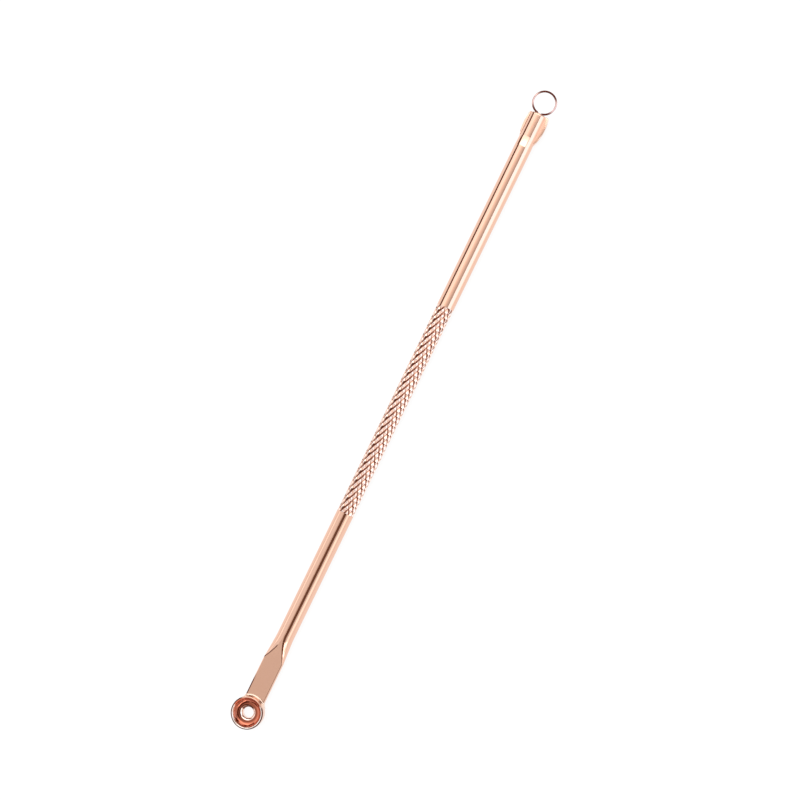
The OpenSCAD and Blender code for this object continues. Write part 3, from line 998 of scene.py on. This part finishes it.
def floor_material(context):
    """White table: plain white to the camera and to reflections, and it keeps a soft shadow."""
    material, tree = new_material("white_table")
    path = add_node(tree, "LightPath").outputs
    rays = {0: path["Is Camera Ray"], 1: path["Is Glossy Ray"]}
    seen = add_node(tree, "Math", rays, operation="MAXIMUM")
    share = add_node(tree, "Math", {0: seen.outputs[0], 1: 0.9}, operation="MULTIPLY")
    matt = add_node(tree, "BsdfDiffuse", {"Color": rgba(context.scene.finish.floor)})
    light = add_node(tree, "Emission", {"Color": (1, 1, 1, 1), "Strength": 1.0})
    parts = {0: share.outputs[0], 1: matt.outputs[0], 2: light.outputs[0]}
    mix = add_node(tree, "MixShader", parts)
    add_node(tree, "OutputMaterial", {"Surface": mix.outputs[0]})
    return material


# The table's half width and how far it lies below the tool, in metres
TABLE_HALF = 1.0
TABLE_GAP = 0.00002


def add_table(context):
    """A flat white table under the tool."""
    side = np.array([-TABLE_HALF, TABLE_HALF])
    x, y = np.meshgrid(side, side, indexing="ij")
    points = np.stack([x, y, 0 * x + CAD_BOX[0].z - TABLE_GAP], -1)
    faces = [grid_faces(2, 2, ring=False)]
    mesh_piece("table_top", points, faces, floor_material(context), stage=True)


def add_card(name, a0, a1, x0, x1, first, last, code):
    """A card bent about the rod's axis, lit for reflections alone."""
    share = np.linspace(0, 1, CARD_RINGS)[:, None] + np.zeros((1, 2))
    a = np.radians(a0 + (a1 - a0) * share)
    along = np.array([[x0, x1]]) + 0 * a
    card = mesh_piece(
        name,
        np.stack([along, -CARD_R * np.sin(a), AXIS_Z + CARD_R * np.cos(a)], -1),
        [grid_faces(CARD_RINGS, 2, ring=False)],
        card_material(code),
        stage=True,
        glow=first + (last - first) * share,
    )
    card.visible_camera = False
    card.visible_diffuse = False
    card.visible_shadow = False


def add_lamp(scene):
    """One large soft lamp above the table, for the shadow alone."""
    data = bpy.data.lights.new("soft_lamp", "AREA")
    data.shape = "SQUARE"
    data.size = 0.6
    data.energy = 6.0
    lamp = bpy.data.objects.new("soft_lamp", data)
    lamp.location = (0.1, 0.25, 0.7)
    lamp.rotation_euler = (-Vector(lamp.location)).to_track_quat("-Z", "Y").to_euler()
    lamp.visible_glossy = False
    scene.collection.objects.link(lamp)


def add_world(scene):
    """A plain pale room: white to the camera, a little darker in reflections."""
    world = bpy.data.worlds.new("pale_room")
    world.use_nodes = True
    tree = world.node_tree
    tree.nodes.clear()
    seen = add_node(tree, "LightPath").outputs["Is Camera Ray"]
    strength = add_node(tree, "MapRange", {"Value": seen, "To Min": 0.97, "To Max": 1.0})
    light = add_node(
        tree, "Background", {"Color": (1, 1, 1, 1), "Strength": strength.outputs["Result"]}
    )
    add_node(tree, "OutputWorld", {"Surface": light.outputs[0]})
    scene.world = world


# The camera stands over the middle of the tool, rolled about its length. Its distance is in
# metres, the sensor in mm, and the picture and its shift are in pixels.
CAMERA_D = 0.270
CAMERA_TILT = math.radians(9.6)
PICTURE_TURN = math.radians(64.1)
SENSOR = 36
MM_PER_PIXEL = 0.170
PICTURE = 800
SHIFT_X, SHIFT_Y = 4.15, 9.23


def add_camera(scene):
    """The photograph's camera: the tool's length runs up to the right in the picture."""
    data = bpy.data.cameras.new("camera")
    data.sensor_width = SENSOR
    data.lens = SENSOR * CAMERA_D / (PICTURE * MM_PER_PIXEL * MM)
    data.shift_x = SHIFT_X / PICTURE
    data.shift_y = SHIFT_Y / PICTURE
    data.clip_start = 0.01
    camera = bpy.data.objects.new("camera", data)
    away = Vector((0, -math.sin(CAMERA_TILT), math.cos(CAMERA_TILT)))
    along = Vector((1, 0, 0))
    up_side = away.cross(along)
    right = along * math.cos(PICTURE_TURN) - up_side * math.sin(PICTURE_TURN)
    up = away.cross(right)
    place = Matrix.Translation(Vector((0, 0, AXIS_Z)) + away * CAMERA_D)
    camera.matrix_world = place @ Matrix((right, up, away)).transposed().to_4x4()
    scene.collection.objects.link(camera)
    scene.camera = camera


class EXTRACTOR_OT_stage(bpy.types.Operator):
    """Make the table, the studio light and the camera"""

    bl_idname = "extractor.stage"
    bl_label = "Stage"

    def execute(self, context):
        add_table(context)
        for i, card in enumerate(CARDS):
            add_card(f"studio_card_{i}", *card)
        add_lamp(context.scene)
        add_world(context.scene)
        add_camera(context.scene)
        context.scene.view_settings.view_transform = "Standard"
        return {"FINISHED"}


GROUPS = {
    "rod_sizes": RodSizes,
    "knurl_sizes": KnurlSizes,
    "cup_sizes": CupSizes,
    "loop_sizes": LoopSizes,
    "finish": Finish,
}
OPERATORS = (
    EXTRACTOR_OT_handle,
    EXTRACTOR_OT_cup,
    EXTRACTOR_OT_cup_braze,
    EXTRACTOR_OT_loop,
    EXTRACTOR_OT_loop_braze,
    EXTRACTOR_OT_stage,
)


class EXTRACTOR_PT_panel(bpy.types.Panel):
    """Lists the tool's sizes, its colours and the pieces to make"""

    bl_label = "Blackhead extractor"
    bl_space_type = "VIEW_3D"
    bl_region_type = "UI"
    bl_category = "Extractor"

    def draw(self, context):
        for name in GROUPS:
            group = getattr(context.scene, name)
            box = self.layout.box()
            for item in group.__annotations__:
                box.prop(group, item)
        for operator in OPERATORS:
            self.layout.operator(operator.bl_idname)


CLASSES = (*GROUPS.values(), *OPERATORS, EXTRACTOR_PT_panel)


def register():
    """Makes the classes known to Blender and adds their values to the scene."""
    for item in CLASSES:
        bpy.utils.register_class(item)
    for name, group in GROUPS.items():
        setattr(bpy.types.Scene, name, PointerProperty(type=group))


def unregister():
    """Takes the values and the classes away again."""
    for name in GROUPS:
        delattr(bpy.types.Scene, name)
    for item in reversed(CLASSES):
        bpy.utils.unregister_class(item)


def main():
    """Makes every piece and the stage."""
    register()
    bpy.ops.extractor.handle()
    bpy.ops.extractor.cup()
    bpy.ops.extractor.cup_braze()
    bpy.ops.extractor.loop()
    bpy.ops.extractor.loop_braze()
    bpy.ops.extractor.stage()


if __name__ == "__main__":
    main()
